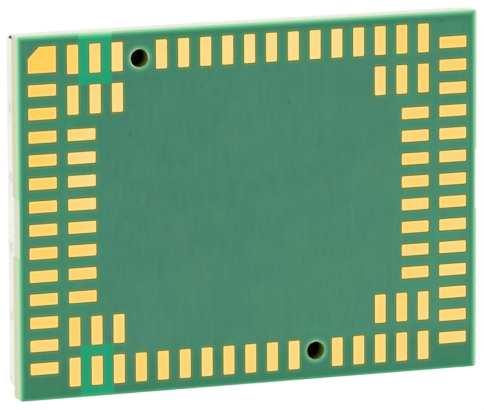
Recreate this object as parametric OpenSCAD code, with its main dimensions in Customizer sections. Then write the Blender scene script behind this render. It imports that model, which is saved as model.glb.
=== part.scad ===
// Satellite modem module: a land-grid board with a folded two-piece shield on its component side.
// Frame: millimetres, lying on the shield lid with the lands up. The origin is under the middle
// of the board on the lid's outer face. +X runs along the long side, +Y towards the first
// terminal, and +Z out of the land side.

/* [Board] */
// Length of the board along X
board_l = 42; // [38:0.5:50]
// Width of the board along Y
board_w = 31.5; // [30:0.5:40]
// Thickness of the bare laminate
laminate_t = 1.42; // [0.8:0.02:2]
// Radius of the board's corners
board_corner_r = 0.3; // [0.1:0.05:0.8]
// Thickness of the solder mask, and of the copper that lies in its openings
mask_t = 0.04; // [0.03:0.01:0.08]
// Bare laminate between the mask and the routed edge
mask_pullback = 0.12; // [0.05:0.01:0.2]
// Length of the place on each short side where a holding tab was cut away
tab_cut_l = 5.2; // [2:0.2:8]
// Depth of that cut
tab_cut_depth = 0.1; // [0.05:0.01:0.2]
// Shift of that cut from the middle of its side
tab_cut_shift = 0.85; // [0:0.05:3]

/* [Lands] */
// Spacing of neighbouring lands
land_pitch = 2; // [1.7:0.05:2.4]
// Width of a land
land_w = 1; // [0.6:0.05:1.3]
// Length of a land
land_l = 2.5; // [1.6:0.1:3]
// Radius of a land's corners
land_corner_r = 0.1; // [0.05:0.05:0.25]
// Margin from the board's edge to the outer lands
land_margin = 1; // [0.6:0.1:1.5]
// Gap between the outer and the inner lands
land_row_gap = 1; // [0.6:0.1:1.5]
// Number of inner lands in each corner group
corner_group_n = 3; // [1:1:5]
// Cut-off corner of the first terminal's land
first_land_chamfer = 1; // [0.4:0.1:1.4]
// Clearance of the mask round a land
land_clearance = 0.1; // [0.05:0.01:0.12]
// Place of the two antenna lands, in pitches from the middle of their rows
antenna_slot = -7; // [-8:1:-6]
// Step down of the mask where no copper lies under it, at the antenna lands
window_step = 0.015; // [0.005:0.005:0.025]

/* [Locating holes] */
// Diameter of the two drilled holes
hole_d = 1.55; // [1:0.05:2]
// Distance of a hole's centre from the nearest long side
hole_edge = 2.5; // [2.2:0.05:2.8]
// Place of the hole in the top row, in pitches from the middle
top_hole_slot = -5; // [-5:1:4]
// Place of the hole in the bottom row, in pitches from the middle
bottom_hole_slot = 3; // [-5:1:4]
// Bare ring that the mask leaves round a hole
hole_ring = 0.22; // [0.1:0.02:0.3]

/* [Shield] */
// Height of the shield over the component side
shield_h = 2.3; // [2.2:0.05:4]
// Thickness of the sheet that lid and frame are folded from
sheet_t = 0.15; // [0.1:0.01:0.2]
// Inside radius of the folds
fold_r = 0.1; // [0.08:0.01:0.3]
// Set-back of the lid from the board's short sides
lid_inset_side = 0.3; // [0.3:0.05:0.8]
// Set-back of the lid from the long side at the top
lid_inset_top = 0.3; // [0.3:0.05:1]
// Set-back of the lid from the long side at the bottom
lid_inset_bottom = 0.75; // [0.3:0.05:1.2]
// Gap between the lid's skirt and the board
skirt_gap = 0.35; // [0.2:0.05:0.8]
// Play between the lid's skirt and the frame
lid_play = 0.03; // [0.01:0.01:0.06]
// Opening between two neighbouring folds at a corner
corner_gap = 0.05; // [0.05:0.05:0.4]
// Spacing of the snap dimples
snap_pitch = 6; // [4:0.5:9]
// Radius of a snap dimple at its foot
snap_r = 0.4; // [0.25:0.05:0.5]
// Depth that a snap dimple is pressed in
snap_depth = 0.1; // [0.06:0.01:0.15]
// Play between a snap dimple and its hole in the frame
snap_play = 0.05; // [0.02:0.01:0.1]
// Length of the slot for levering the lid off
pry_slot_l = 0.6; // [0.4:0.05:1.2]
// Height of that slot above the lid's outer face
pry_slot_h = 0.45; // [0.4:0.05:0.8]
// Shift of that slot from the middle of its short side
pry_slot_shift = 4.2; // [1:0.1:5]
// Width of the frame's rim under the lid
rim_w = 0.9; // [0.6:0.1:1.5]
// Width of the bridge that carries the dividing wall
bridge_w = 1.2; // [0.8:0.1:2]
// Diameter of the frame's pick-up disc
pickup_d = 5; // [3:0.5:7]
// Width of the arm that holds the disc
pickup_arm_w = 1.4; // [0.8:0.1:2]
// Radius in the corners of the frame's openings
opening_corner_r = 0.5; // [0.2:0.1:1]
// Width of the notches along the frame's feet
foot_notch_w = 0.8; // [0.4:0.1:1.5]
// Height of those notches
foot_notch_h = 0.3; // [0.1:0.05:0.5]
// Gap between the dividing wall and the long walls
divider_gap = 0.3; // [0.1:0.05:0.6]
// Copper lip on each side of the frame's walls
track_lip = 0.1; // [0.06:0.02:0.14]

/* [Digital parts] */
// Side of the baseband processor
processor_side = 9; // [7:0.5:10]
// Height of the baseband processor
processor_h = 1.1; // [0.8:0.05:1.6]
// Length of the memory
memory_l = 8; // [5:0.5:9]
// Width of the memory
memory_w = 6; // [4:0.5:7]
// Height of the memory
memory_h = 0.9; // [0.7:0.05:1.4]
// Spacing of the solder balls
ball_pitch = 0.8; // [0.65:0.05:1]
// Diameter of a solder ball
ball_d = 0.4; // [0.3:0.05:0.5]
// Standing height of a solder ball
ball_h = 0.25; // [0.15:0.05:0.35]
// Thickness of the carrier under a ball-grid chip
carrier_t = 0.3; // [0.2:0.05:0.4]
// Rim of the carrier that the moulded cap leaves bare
cap_inset = 0.3; // [0.1:0.05:0.5]
// Length of the clock crystal
crystal_l = 3.2; // [2:0.1:4]
// Width of the clock crystal
crystal_w = 1.5; // [1.2:0.1:2]
// Height of the clock crystal
crystal_h = 0.75; // [0.5:0.05:1]

/* [Radio parts] */
// Side of the radio transceiver
transceiver_side = 7; // [5:0.5:8]
// Side of the power amplifier
amplifier_side = 5; // [3:0.5:6]
// Side of the antenna switch
switch_side = 3; // [2:0.5:4]
// Side of the low-noise amplifier
low_noise_side = 2; // [1.6:0.1:3]
// Height of the leadless chips
leadless_h = 0.85; // [0.6:0.05:1.2]
// Length of a filter
filter_l = 2.5; // [1.6:0.1:4]
// Width of a filter
filter_w = 2; // [1.4:0.1:2.5]
// Height of a filter
filter_h = 0.9; // [0.6:0.05:1.2]
// Length of the reference oscillator
oscillator_l = 3.2; // [2:0.1:5]
// Width of the reference oscillator
oscillator_w = 2.5; // [1.6:0.1:3.5]
// Height of the reference oscillator
oscillator_h = 1; // [0.7:0.05:1.4]
// Spacing of a leadless chip's terminals
terminal_pitch = 0.5; // [0.4:0.05:0.65]
// Width of a terminal
terminal_w = 0.25; // [0.15:0.05:0.3]
// Length of a terminal
terminal_l = 0.4; // [0.3:0.05:0.5]
// Thickness of the terminals
terminal_t = 0.05; // [0.03:0.01:0.1]
// Gap between a leadless chip's terminals and its thermal pad
thermal_pad_gap = 0.25; // [0.15:0.05:0.35]
// Thickness of the metal lid on a ceramic package
package_lid_t = 0.15; // [0.08:0.01:0.2]
// Ceramic rim round that lid
package_rim = 0.12; // [0.08:0.01:0.2]

/* [Power parts] */
// Side of the power manager
manager_side = 5; // [4:0.5:6]
// Side of a converter inductor
inductor_side = 3.2; // [2:0.1:3.6]
// Height of a converter inductor
inductor_h = 1.5; // [0.8:0.1:1.7]
// Chamfer on an inductor's corners
inductor_chamfer = 0.5; // [0.2:0.1:0.8]
// Length of an inductor's terminals
inductor_terminal_l = 0.9; // [0.5:0.1:0.95]
// Length of a storage capacitor
storage_l = 7.3; // [5:0.1:8]
// Width of a storage capacitor
storage_w = 4.3; // [2.8:0.1:5]
// Height of a storage capacitor
storage_h = 1.7; // [1:0.1:1.75]
// Slope of a storage capacitor's ends, as a run over its height
storage_slope = 0.15; // [0:0.05:0.4]
// Width of a storage capacitor's leads
storage_lead_w = 2.4; // [1.5:0.1:2.6]
// Thickness of those leads
storage_lead_t = 0.12; // [0.08:0.01:0.2]
// Length of the lead's foot
storage_foot_l = 1.3; // [0.8:0.1:1.6]

/* [Chip passives] */
// Length of a small chip passive
passive_l = 1; // [0.6:0.1:1.2]
// Width of a small chip passive
passive_w = 0.5; // [0.3:0.05:0.6]
// Height of a small chip capacitor
passive_h = 0.5; // [0.3:0.05:0.6]
// Height of a chip resistor
resistor_h = 0.35; // [0.25:0.05:0.5]
// Length of a bulk ceramic capacitor
bulk_l = 2; // [1.6:0.1:2.2]
// Width of a bulk ceramic capacitor
bulk_w = 1.25; // [0.8:0.05:1.4]
// Height of a bulk ceramic capacitor
bulk_h = 1.25; // [0.8:0.05:1.5]
// Thickness of the metal on a passive's ends
end_cap_t = 0.02; // [0.01:0.01:0.05]
// Length of a metal end
end_cap_l = 0.25; // [0.15:0.05:0.28]

/* [Placing] */
// Lane between the chips of a column
lane = 1.6; // [1.5:0.1:1.8]
// Gap between the head of a column and the top locating hole
chip_gap = 0.8; // [0.4:0.1:1]
// Grid that the columns of parts are placed on
place_grid = 0.01; // [0.01:0.01:0.05]
// Spacing of small passives along a lane
passive_pitch = 1; // [0.8:0.1:1.5]
// Spacing of bulk capacitors along their lane
bulk_pitch = 2.6; // [2.4:0.1:4]

/* [Hidden] */
$fn = 48;

// Overshoot of a cutting body past the face it opens
cut = 1;

// Levels, from the lid's outer face upwards
component_z = shield_h;
laminate_z = component_z + mask_t;
land_z = laminate_z + laminate_t;

// Middle lines of the outer and inner lands
outer_x = board_l / 2 - land_margin - land_l / 2;
outer_y = board_w / 2 - land_margin - land_l / 2;
inner_x = outer_x - land_l - land_row_gap;
inner_y = outer_y - land_l - land_row_gap;

// Places that a row along X and a row along Y have room for
row_n = floor((board_l - 2 * (land_margin + land_l)) / land_pitch);
side_n = floor((board_w - 2 * land_margin) / land_pitch);
row_x = [for (i = [0 : row_n - 1]) (i - (row_n - 1) / 2) * land_pitch];
side_y = [for (i = [0 : side_n - 1]) ((side_n - 1) / 2 - i) * land_pitch];

// The locating holes take the place of a land in the top and the bottom row
top_hole = [top_hole_slot * land_pitch, board_w / 2 - hole_edge];
bottom_hole = [bottom_hole_slot * land_pitch, hole_edge - board_w / 2];
function clear_of(x, hole) = abs(x - hole.x) > (land_w + hole_d) / 2 + hole_ring;
top_x = [for (x = row_x) if (clear_of(x, top_hole)) x];
bottom_x = [for (x = row_x) if (clear_of(x, bottom_hole)) x];

// The first terminal fills the top left corner, and the inner lands keep clear of each other
left_y = [for (i = [1 : side_n - 1]) side_y[i]];
inner_y_reach = inner_y - land_l / 2 - land_row_gap - land_w / 2;
inner_side_y = [for (y = side_y) if (abs(y) <= inner_y_reach) y];
corner_x = [for (i = [0 : row_n - 1]) if (min(i, row_n - 1 - i) < corner_group_n) row_x[i]];

// The copper-free windows reach from land to land and from the edge to the inner lands
window_w = 2 * land_pitch - land_w;
window_l = land_margin + land_l + land_row_gap;

// The lid and, inside its skirt, the frame
fold_out = fold_r + sheet_t;
corner_relief = fold_out + corner_gap;
shield_y = (lid_inset_bottom - lid_inset_top) / 2;
lid_l = board_l - 2 * lid_inset_side;
lid_w = board_w - lid_inset_top - lid_inset_bottom;
lid_h = shield_h - skirt_gap;
frame_l = lid_l - 2 * (sheet_t + lid_play);
frame_w = lid_w - 2 * (sheet_t + lid_play);
frame_h = shield_h - sheet_t;

// Evenly spaced places, centred, as many as a length has room for
function spread(length, pitch) =
  let (n = floor(length / pitch)) [for (i = [0 : 1 : n - 1]) (i - (n - 1) / 2) * pitch];
snap_x = spread(lid_l - 2 * corner_relief, snap_pitch);
snap_y = spread(lid_w - 2 * corner_relief, snap_pitch);
snap_z = (lid_h + fold_out) / 2;
snap_sphere_r = (snap_r * snap_r + snap_depth * snap_depth) / (2 * snap_depth);
foot_x = spread(frame_l - 2 * corner_relief - snap_pitch, snap_pitch);
foot_y = spread(frame_w - 2 * corner_relief - snap_pitch, snap_pitch);

// Columns of chips, lanes of passives and the dividing wall share the frame's length, from its left
// wall to its right wall, with equal clearances to within the placing grid
function sum_of(v, n) = n == 0 ? 0 : v[n - 1] + sum_of(v, n - 1);
radio_columns = [transceiver_side, passive_l, amplifier_side];
digital_columns = [passive_l, processor_side, passive_l, manager_side, bulk_w, storage_w];
columns = concat(radio_columns, [sheet_t], digital_columns);
column_n = len(columns);
clearance = (frame_l - 2 * sheet_t - sum_of(columns, column_n)) / (column_n + 1);
function on_grid(v) = round(v / place_grid) * place_grid;
column_x = [for (i = [0 : column_n - 1])
  on_grid(-frame_l / 2 + sheet_t + sum_of(columns, i) + (i + 1) * clearance + columns[i] / 2)];
transceiver_x = column_x[0];
radio_lane_x = column_x[1];
amplifier_x = column_x[2];
divider_x = column_x[3] - sheet_t / 2;
processor_x = column_x[5];
manager_x = column_x[7];
bulk_lane_x = column_x[8];
storage_x = column_x[9];

// Each column is filled downwards from a line clear of the top locating hole
column_top = top_hole.y - hole_d / 2 - hole_ring - chip_gap;
function stacked(sizes) =
  [for (i = [0 : len(sizes) - 1]) column_top - sum_of(sizes, i) - i * lane - sizes[i] / 2];
receive_y = stacked([switch_side, filter_w, low_noise_side, transceiver_side, filter_w]);
transmit_y = stacked([filter_w, amplifier_side, oscillator_w]);
digital_y = stacked([crystal_w, processor_side, memory_w]);
power_y = stacked([inductor_side, manager_side, inductor_side, inductor_side]);
storage_y = stacked([storage_l, storage_l]);

// A rectangle with round corners
module rounded_rect(l, w, r) {
  square([l - 2 * r, w], center = true);
  square([l, w - 2 * r], center = true);
  for (x = [-1, 1], y = [-1, 1])
    translate([x * (l / 2 - r), y * (w / 2 - r)])
      circle(r);
}

// The board's outline with its tab cuts, drawn in from the edge
module board_outline(inset) {
  difference() {
    rounded_rect(board_l - 2 * inset, board_w - 2 * inset, board_corner_r);
    for (side = [-1, 1])
      translate([side * board_l / 2, side * tab_cut_shift])
        square([2 * (tab_cut_depth + inset), tab_cut_l + 2 * inset], center = true);
  }
}

module locating_holes(grow) {
  for (hole = [top_hole, bottom_hole])
    translate(hole)
      circle(d = hole_d + 2 * grow);
}

// Lands that stand side by side along X, and one above the other along Y
module row_of_lands(xs, y, grow = 0) {
  for (x = xs)
    translate([x, y])
      rounded_rect(land_w + 2 * grow, land_l + 2 * grow, land_corner_r + grow);
}

module side_of_lands(x, ys, grow = 0) {
  for (y = ys)
    translate([x, y])
      rounded_rect(land_l + 2 * grow, land_w + 2 * grow, land_corner_r + grow);
}

// The first terminal's land: it fills its corner, and its outer corner is cut off
module first_land_shape(grow = 0) {
  left = -outer_x - land_l / 2 - grow;
  right = -outer_x + land_l / 2 + grow;
  low = side_y[0] - land_w / 2 - grow;
  high = outer_y + land_l / 2 + grow;
  chamfer = first_land_chamfer + grow * (1 - tan(22.5));
  polygon([
    [left, low], [right, low], [right, high], [left + chamfer, high], [left, high - chamfer]
  ]);
}

module land_openings() {
  first_land_shape(land_clearance);
  side_of_lands(-outer_x, left_y, land_clearance);
  side_of_lands(outer_x, side_y, land_clearance);
  row_of_lands(top_x, outer_y, land_clearance);
  row_of_lands(bottom_x, -outer_y, land_clearance);
  side_of_lands(-inner_x, inner_side_y, land_clearance);
  side_of_lands(inner_x, inner_side_y, land_clearance);
  row_of_lands(corner_x, inner_y, land_clearance);
  row_of_lands(corner_x, -inner_y, land_clearance);
}

module antenna_windows() {
  for (side = [-1, 1])
    translate([antenna_slot * land_pitch, side * (board_w / 2 - window_l / 2)])
      square([window_w, window_l], center = true);
}

// Everything on the land side lies on the laminate
module on_land_side() {
  translate([0, 0, land_z])
    linear_extrude(mask_t)
      children();
}

module board() {
  color("palegoldenrod")
    difference() {
      translate([0, 0, laminate_z])
        linear_extrude(laminate_t)
          board_outline(0);
      for (hole = [top_hole, bottom_hole])
        translate([hole.x, hole.y, laminate_z - cut])
          cylinder(d = hole_d, h = laminate_t + 2 * cut);
    }
}

module land_side_mask() {
  color("seagreen")
    difference() {
      on_land_side()
        difference() {
          board_outline(mask_pullback);
          land_openings();
          locating_holes(hole_ring);
        }
      translate([0, 0, land_z + mask_t - window_step])
        linear_extrude(cut)
          antenna_windows();
    }
}

module component_side_mask() {
  color("seagreen")
    translate([0, 0, component_z])
      linear_extrude(mask_t)
        difference() {
          board_outline(mask_pullback);
          track_shape(land_clearance);
          locating_holes(hole_ring);
        }
}

module first_land() {
  color("gold")
    on_land_side()
      first_land_shape();
}

module left_lands() {
  color("gold")
    on_land_side()
      side_of_lands(-outer_x, left_y);
}

module right_lands() {
  color("gold")
    on_land_side()
      side_of_lands(outer_x, side_y);
}

module top_lands() {
  color("gold")
    on_land_side()
      row_of_lands(top_x, outer_y);
}

module bottom_lands() {
  color("gold")
    on_land_side()
      row_of_lands(bottom_x, -outer_y);
}

module left_inner_lands() {
  color("gold")
    on_land_side()
      side_of_lands(-inner_x, inner_side_y);
}

module right_inner_lands() {
  color("gold")
    on_land_side()
      side_of_lands(inner_x, inner_side_y);
}

module top_corner_lands() {
  color("gold")
    on_land_side()
      row_of_lands(corner_x, inner_y);
}

module bottom_corner_lands() {
  color("gold")
    on_land_side()
      row_of_lands(corner_x, -inner_y);
}

// The copper that the frame's walls are soldered to: a ring and the dividing wall's strip
module track_shape(grow = 0) {
  lip = track_lip + grow;
  inner_w = frame_w - 2 * (sheet_t + lip);
  translate([0, shield_y]) {
    difference() {
      square([frame_l + 2 * lip, frame_w + 2 * lip], center = true);
      square([frame_l - 2 * (sheet_t + lip), inner_w], center = true);
    }
    translate([divider_x - lip, -frame_w / 2])
      square([sheet_t + 2 * lip, frame_w]);
  }
}

module shield_track() {
  color("goldenrod")
    translate([0, 0, component_z])
      linear_extrude(mask_t)
        difference() {
          track_shape();
          locating_holes(land_clearance);
        }
}

// Section of a fold and its wall: x runs in from the outer face, y up from the plate
module fold_section(h) {
  translate([0, fold_out])
    square([sheet_t, h - fold_out]);
  translate([fold_out, fold_out])
    difference() {
      intersection() {
        circle(fold_out);
        translate([-fold_out, -fold_out])
          square(fold_out);
      }
      circle(fold_r);
    }
}

module folded_wall(length, h) {
  rotate([90, 0, 0])
    linear_extrude(length, center = true)
      fold_section(h);
}

// A plate with a wall folded up along each side, and open corners between the folds
module folded_tray(l, w, h) {
  linear_extrude(sheet_t)
    square([l - 2 * fold_out, w - 2 * fold_out], center = true);
  for (turn = [0, 180])
    rotate(turn)
      translate([-l / 2, 0, 0])
        folded_wall(w - 2 * corner_relief, h);
  for (turn = [90, 270])
    rotate(turn)
      translate([-w / 2, 0, 0])
        folded_wall(l - 2 * corner_relief, h);
}

// Places along the four walls of a tray, each with x running in from the outer face
module along_walls(l, w, xs, ys, z) {
  for (turn = [0, 180], y = ys)
    rotate(turn)
      translate([-l / 2, y, z])
        children();
  for (turn = [90, 270], x = xs)
    rotate(turn)
      translate([-w / 2, x, z])
        children();
}

// The cap of a sphere, pressed in from the outer face by the depth of a snap
module snap_sphere(face_x) {
  translate([face_x + snap_depth - snap_sphere_r, 0, 0])
    rotate([0, 90, 0])
      sphere(snap_sphere_r);
}

module snap_bump() {
  intersection() {
    snap_sphere(sheet_t);
    translate([sheet_t / 2, -snap_sphere_r, -snap_sphere_r])
      cube([sheet_t, 2 * snap_sphere_r, 2 * snap_sphere_r]);
  }
}

module pry_slots() {
  for (turn = [0, 180])
    rotate(turn)
      translate([-lid_l / 2 - cut, -pry_slot_shift - pry_slot_l / 2, -cut])
        cube([fold_out + cut, pry_slot_l, pry_slot_h + cut]);
}

module shield_lid() {
  color("gainsboro")
    translate([0, shield_y, 0])
      difference() {
        union() {
          folded_tray(lid_l, lid_w, lid_h);
          along_walls(lid_l, lid_w, snap_x, snap_y, snap_z)
            snap_bump();
        }
        along_walls(lid_l, lid_w, snap_x, snap_y, snap_z)
          snap_sphere(0);
        pry_slots();
      }
}

// Openings in the frame's plate: one over the radio, and one over the rest round the pick-up disc
module frame_openings() {
  left = -frame_l / 2 + rim_w;
  right = frame_l / 2 - rim_w;
  radio_end = divider_x + fold_out + fold_r;
  rest_start = divider_x + fold_out + bridge_w;
  opening_w = frame_w - 2 * rim_w;
  translate([(left + radio_end) / 2, 0])
    rounded_rect(radio_end - left, opening_w, opening_corner_r);
  difference() {
    translate([(rest_start + right) / 2, 0])
      rounded_rect(right - rest_start, opening_w, opening_corner_r);
    circle(d = pickup_d);
    translate([rest_start, -pickup_arm_w / 2])
      square([right - rest_start, pickup_arm_w]);
  }
}

// The wall between radio and digital parts, folded down from the bridge with the tongue it hangs from
module divider() {
  fold_l = frame_w - 2 * (rim_w + opening_corner_r);
  wall_l = frame_w - 2 * (sheet_t + divider_gap);
  translate([divider_x, 0, 0]) {
    folded_wall(fold_l, frame_h);
    translate([fold_out, -fold_l / 2, 0])
      cube([bridge_w / 2, fold_l, sheet_t]);
    translate([0, -wall_l / 2, fold_out])
      cube([sheet_t, wall_l, frame_h - fold_out]);
  }
}

module shield_frame() {
  color("silver")
    translate([0, shield_y, sheet_t])
      difference() {
        union() {
          difference() {
            folded_tray(frame_l, frame_w, frame_h);
            translate([0, 0, -cut])
              linear_extrude(sheet_t + 2 * cut)
                frame_openings();
          }
          divider();
        }
        along_walls(frame_l, frame_w, snap_x, snap_y, snap_z - sheet_t)
          rotate([0, 90, 0])
            cylinder(r = snap_r + snap_play, h = 2 * fold_out, center = true);
        along_walls(frame_l, frame_w, foot_x, foot_y, frame_h)
          cube([2 * fold_out, foot_notch_w, 2 * foot_notch_h], center = true);
      }
}

// A part soldered to the component side, drawn upright on it
module soldered_at(x, y) {
  translate([x, y, component_z])
    mirror([0, 0, 1])
      children();
}

// A ball-grid chip: a carrier on solder balls, with a moulded cap on it
module ball_grid_chip(l, w, h) {
  for (x = spread(l - ball_d, ball_pitch), y = spread(w - ball_d, ball_pitch))
    translate([x, y, 0])
      cylinder(d = ball_d, h = ball_h);
  translate([0, 0, ball_h])
    linear_extrude(carrier_t)
      square([l, w], center = true);
  translate([0, 0, ball_h])
    linear_extrude(h - ball_h)
      square([l - 2 * cap_inset, w - 2 * cap_inset], center = true);
}

// A leadless chip: a moulded body on a ring of terminals and a thermal pad
module leadless_chip(side) {
  reach = side / 2 - terminal_l;
  for (turn = [0 : 90 : 270], y = spread(2 * reach, terminal_pitch))
    rotate(turn)
      translate([reach, y - terminal_w / 2, 0])
        cube([terminal_l, terminal_w, terminal_t]);
  linear_extrude(terminal_t)
    square(2 * (reach - thermal_pad_gap), center = true);
  translate([0, 0, terminal_t])
    linear_extrude(leadless_h - terminal_t)
      square(side, center = true);
}

// A ceramic package with a seam-welded metal lid
module lidded_package(l, w, h) {
  linear_extrude(h - package_lid_t)
    square([l, w], center = true);
  linear_extrude(h)
    rounded_rect(l - 2 * package_rim, w - 2 * package_rim, package_rim);
}

// A chip passive: a body between two slightly thicker metal ends
module chip_passive(l, w, h) {
  translate([-l / 2, -w / 2 + end_cap_t, end_cap_t])
    cube([l, w - 2 * end_cap_t, h - 2 * end_cap_t]);
  for (x = [-l / 2, l / 2 - end_cap_l])
    translate([x, -w / 2, 0])
      cube([end_cap_l, w, h]);
}

module processor() {
  color("dimgray")
    soldered_at(processor_x, digital_y[1])
      ball_grid_chip(processor_side, processor_side, processor_h);
}

module memory() {
  color("dimgray")
    soldered_at(processor_x, digital_y[2])
      ball_grid_chip(memory_l, memory_w, memory_h);
}

module clock_crystal() {
  color("lightgray")
    soldered_at(processor_x, digital_y[0])
      lidded_package(crystal_l, crystal_w, crystal_h);
}

// A lane of small passives on each side of a chip
module flanking_passives(x, y, l, w, h) {
  for (side = [-1, 1], step = spread(w, passive_pitch))
    soldered_at(x + side * ((l + passive_l) / 2 + clearance), y + step)
      chip_passive(passive_l, passive_w, h);
}

module decoupling_capacitors() {
  color("tan")
    flanking_passives(processor_x, digital_y[1], processor_side, processor_side, passive_h);
}

module chip_resistors() {
  color("darkslategray")
    flanking_passives(processor_x, digital_y[2], memory_l, memory_w, resistor_h);
}

module transceiver() {
  color("dimgray")
    soldered_at(transceiver_x, receive_y[3])
      leadless_chip(transceiver_side);
}

module power_amplifier() {
  color("dimgray")
    soldered_at(amplifier_x, transmit_y[1])
      leadless_chip(amplifier_side);
}

module low_noise_amplifier() {
  color("dimgray")
    soldered_at(transceiver_x, receive_y[2])
      leadless_chip(low_noise_side);
}

module antenna_switch() {
  color("dimgray")
    soldered_at(transceiver_x, receive_y[0])
      leadless_chip(switch_side);
}

module transmit_filter() {
  color("lightgray")
    soldered_at(amplifier_x, transmit_y[0])
      lidded_package(filter_l, filter_w, filter_h);
}

module receive_filters() {
  color("lightgray")
    for (y = [receive_y[1], receive_y[4]])
      soldered_at(transceiver_x, y)
        lidded_package(filter_l, filter_w, filter_h);
}

module reference_oscillator() {
  color("lightgray")
    soldered_at(amplifier_x, transmit_y[2])
      lidded_package(oscillator_l, oscillator_w, oscillator_h);
}

// Small parts in the lane between the receive and the transmit column
module radio_passives() {
  color("tan")
    for (step = spread(transceiver_side, passive_pitch))
      soldered_at(radio_lane_x, receive_y[3] + step)
        chip_passive(passive_l, passive_w, passive_h);
}

module power_manager() {
  color("dimgray")
    soldered_at(manager_x, power_y[1])
      leadless_chip(manager_side);
}

// A moulded inductor with cut corners, on two flat terminals
module moulded_inductor() {
  half = inductor_side / 2;
  cut_at = half - inductor_chamfer;
  translate([0, 0, terminal_t])
    linear_extrude(inductor_h - terminal_t)
      polygon([
        [cut_at, -half], [half, -cut_at], [half, cut_at], [cut_at, half],
        [-cut_at, half], [-half, cut_at], [-half, -cut_at], [-cut_at, -half]
      ]);
  for (x = [-half, half - inductor_terminal_l])
    translate([x, -cut_at, 0])
      cube([inductor_terminal_l, 2 * cut_at, terminal_t]);
}

module converter_inductors() {
  color("slategray")
    for (i = [0, 2, 3])
      soldered_at(manager_x, power_y[i])
        moulded_inductor();
}

// A storage capacitor: a moulded body with sloping ends, and leads folded under it
module storage_capacitor() {
  half = storage_l / 2 - storage_lead_t;
  rotate([90, 0, 90])
    translate([0, 0, -storage_w / 2])
      linear_extrude(storage_w)
        polygon([
          [-half, storage_lead_t], [half, storage_lead_t],
          [half - storage_slope, storage_h], [-half + storage_slope, storage_h]
        ]);
  for (turn = [0, 180])
    rotate(turn)
      translate([-storage_lead_w / 2, storage_l / 2 - storage_foot_l, 0])
        cube([storage_lead_w, storage_foot_l, storage_lead_t]);
}

module storage_capacitors() {
  color("darkkhaki")
    for (y = storage_y)
      soldered_at(storage_x, y)
        storage_capacitor();
}

module bulk_capacitors() {
  color("tan")
    for (y = spread(2 * column_top, bulk_pitch))
      soldered_at(bulk_lane_x, y)
        rotate(90)
          chip_passive(bulk_l, bulk_w, bulk_h);
}

board();
land_side_mask();
component_side_mask();
shield_track();
first_land();
left_lands();
right_lands();
top_lands();
bottom_lands();
left_inner_lands();
right_inner_lands();
top_corner_lands();
bottom_corner_lands();
shield_lid();
shield_frame();
processor();
memory();
clock_crystal();
decoupling_capacitors();
chip_resistors();
transceiver();
power_amplifier();
low_noise_amplifier();
antenna_switch();
transmit_filter();
receive_filters();
reference_oscillator();
radio_passives();
power_manager();
converter_inductors();
storage_capacitors();
bulk_capacitors();
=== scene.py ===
import bpy
import numpy as np
from mathutils import Matrix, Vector
from mathutils.geometry import delaunay_2d_cdt


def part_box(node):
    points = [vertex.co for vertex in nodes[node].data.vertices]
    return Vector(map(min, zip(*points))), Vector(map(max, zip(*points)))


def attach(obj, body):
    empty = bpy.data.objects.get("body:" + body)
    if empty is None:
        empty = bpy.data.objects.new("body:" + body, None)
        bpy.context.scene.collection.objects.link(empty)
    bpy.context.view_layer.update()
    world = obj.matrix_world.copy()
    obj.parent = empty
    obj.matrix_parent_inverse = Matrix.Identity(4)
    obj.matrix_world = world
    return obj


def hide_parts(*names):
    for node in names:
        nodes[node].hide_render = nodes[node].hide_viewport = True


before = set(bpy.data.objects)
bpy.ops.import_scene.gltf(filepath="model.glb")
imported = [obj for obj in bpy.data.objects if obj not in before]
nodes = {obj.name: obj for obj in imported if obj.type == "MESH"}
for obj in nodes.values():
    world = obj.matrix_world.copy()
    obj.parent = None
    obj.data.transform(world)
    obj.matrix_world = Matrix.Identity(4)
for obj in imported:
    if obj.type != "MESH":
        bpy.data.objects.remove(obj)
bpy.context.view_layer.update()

# The board is glass-epoxy laminate, pressed from layers of glass cloth and routed out of a panel.
# The cutter leaves fine ridges all round, and each short side has a rough stretch where a holding
# tab was snapped off. Two locating holes are drilled through.
MM = 0.001
BOARD_HALF_L, BOARD_HALF_W = 21.0, 15.75
BOARD_LOW, BOARD_HIGH = 2.34, 3.76
BOARD_CORNER = 0.3
TAB_HALF, TAB_SHIFT, TAB_DEPTH, TAB_CORNER = 2.6, 0.85, 0.1, 0.045
HOLE_CENTRES = np.array([[-10.0, 13.25], [6.0, -13.25]])
HOLE_RADIUS, HOLE_STEPS = 0.775, 72
CLOTH_LAYERS, STEPS_PER_LAYER = 8, 4
CLOTH_DEPTH, RIDGE_DEPTH, DRILL_DEPTH = 0.003, 0.004, 0.006
BURR_DEPTH, TORN_DEPTH = 0.02, 0.02
BURR_STEPS, RIDGE_POINTS, TORN_POINTS = 1.2, 1.2, 2
WINDOW_X, WINDOW_HALF, WINDOW_LOW, WINDOW_FLANK = -14.0, 1.5, BOARD_HALF_W - 4.5, 0.03
WINDOW_GREEN = (17, 162, 113)
chance = np.random.default_rng(11)


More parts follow.
